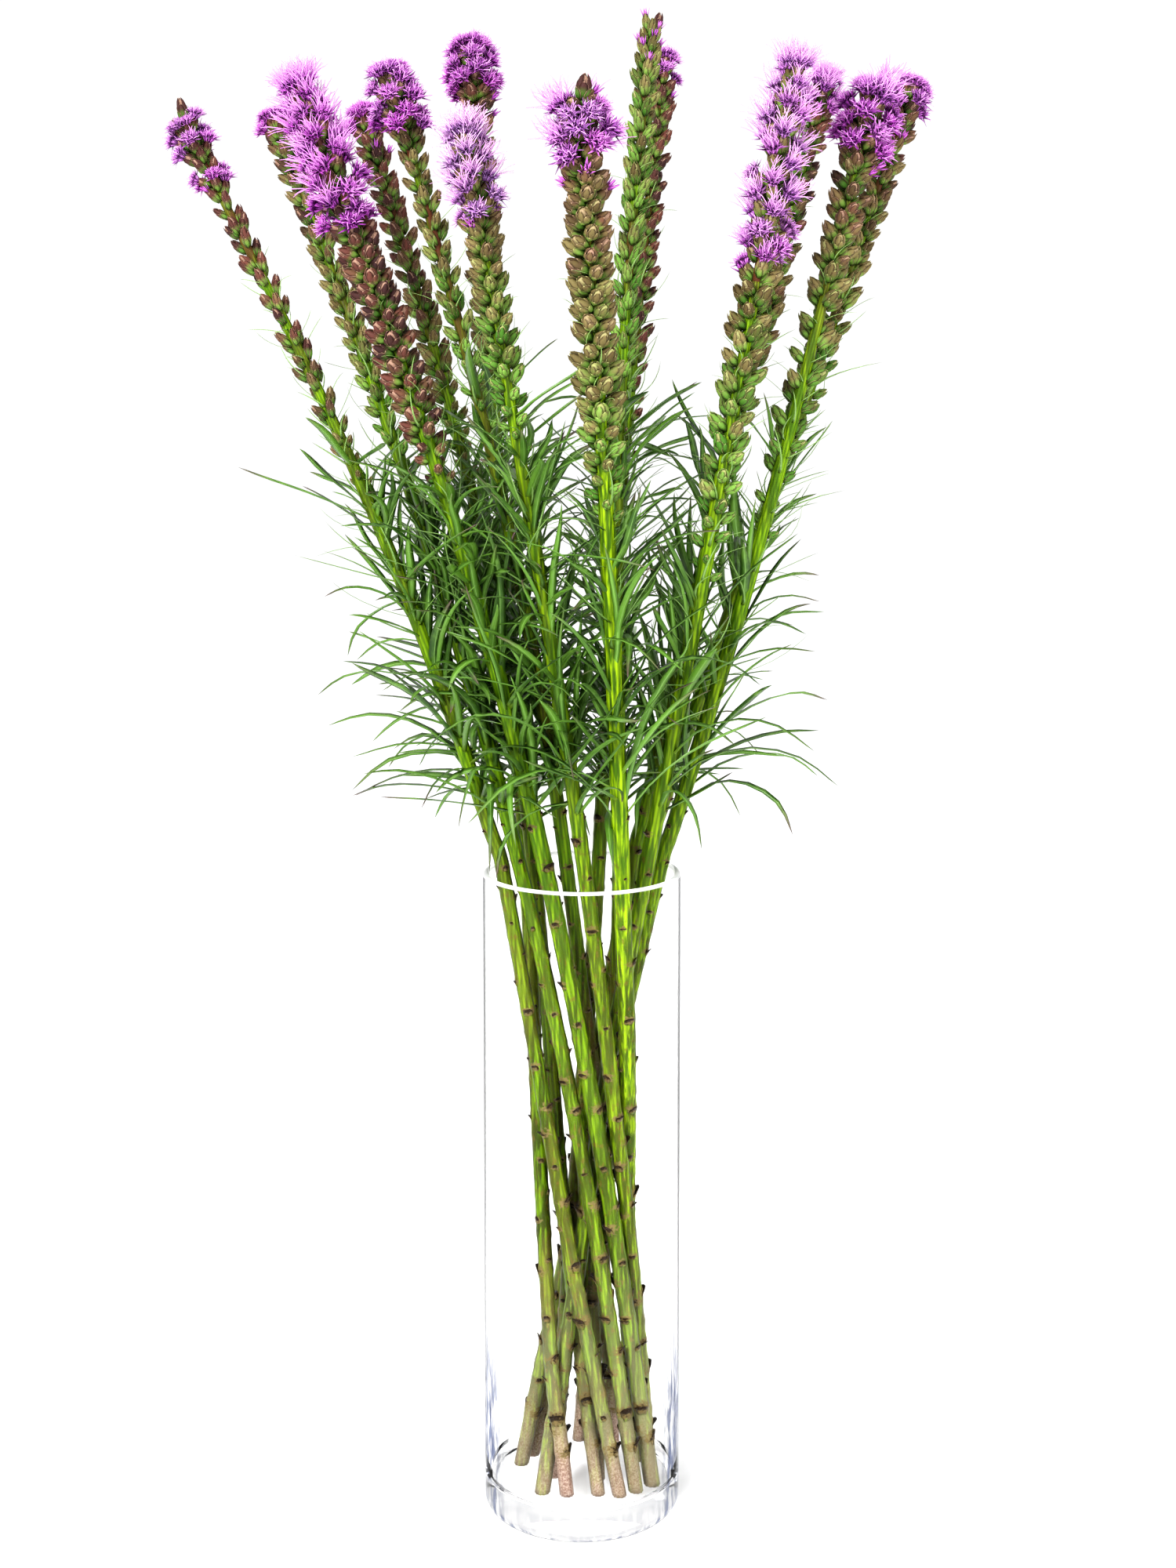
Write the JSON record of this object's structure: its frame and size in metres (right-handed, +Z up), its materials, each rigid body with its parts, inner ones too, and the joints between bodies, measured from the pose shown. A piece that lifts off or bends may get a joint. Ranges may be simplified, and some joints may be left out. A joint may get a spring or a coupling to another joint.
{
  "type": "cut blazing star stems in glass vase",
  "caption": "Tall clear glass cylinder vase holding a loose fan of long leafy flower spikes, closed scaly buds below and tufted purple heads at the tips.",
  "frame": {"origin": "on the vase's axis, at the underside that it stands on", "axes": "+Z up along the vase's axis, +X to the viewer's right, -Y towards the viewer"},
  "size_m": [0.4513, 0.2534, 0.914],
  "materials": {
    "glass": "clear colourless glass, polished",
    "leafy_stem": "fresh ridged green stalk, satin leaves, matt green and maroon buds",
    "florets": "soft matt purple florets with pale styles"
  },
  "bodies": {
    "root": {"vase": "glass", "stem_01": "leafy_stem", "stem_02": "leafy_stem", "stem_03": "leafy_stem", "stem_04": "leafy_stem", "stem_05": "leafy_stem", "stem_06": "leafy_stem", "stem_07": "leafy_stem", "stem_08": "leafy_stem", "stem_09": "leafy_stem", "stem_10": "leafy_stem", "stem_11": "leafy_stem", "stem_12": "leafy_stem", "stem_13": "leafy_stem", "stem_14": "leafy_stem", "flower_head_01": "florets", "flower_head_02": "florets", "flower_head_03": "florets", "flower_head_04": "florets", "flower_head_05": "florets", "flower_head_06": "florets", "flower_head_07": "florets", "flower_head_08": "florets", "flower_head_09": "florets", "flower_head_10": "florets", "flower_head_11": "florets", "flower_head_12": "florets", "flower_head_13": "florets", "flower_head_14": "florets"}
  },
  "joints": []
}
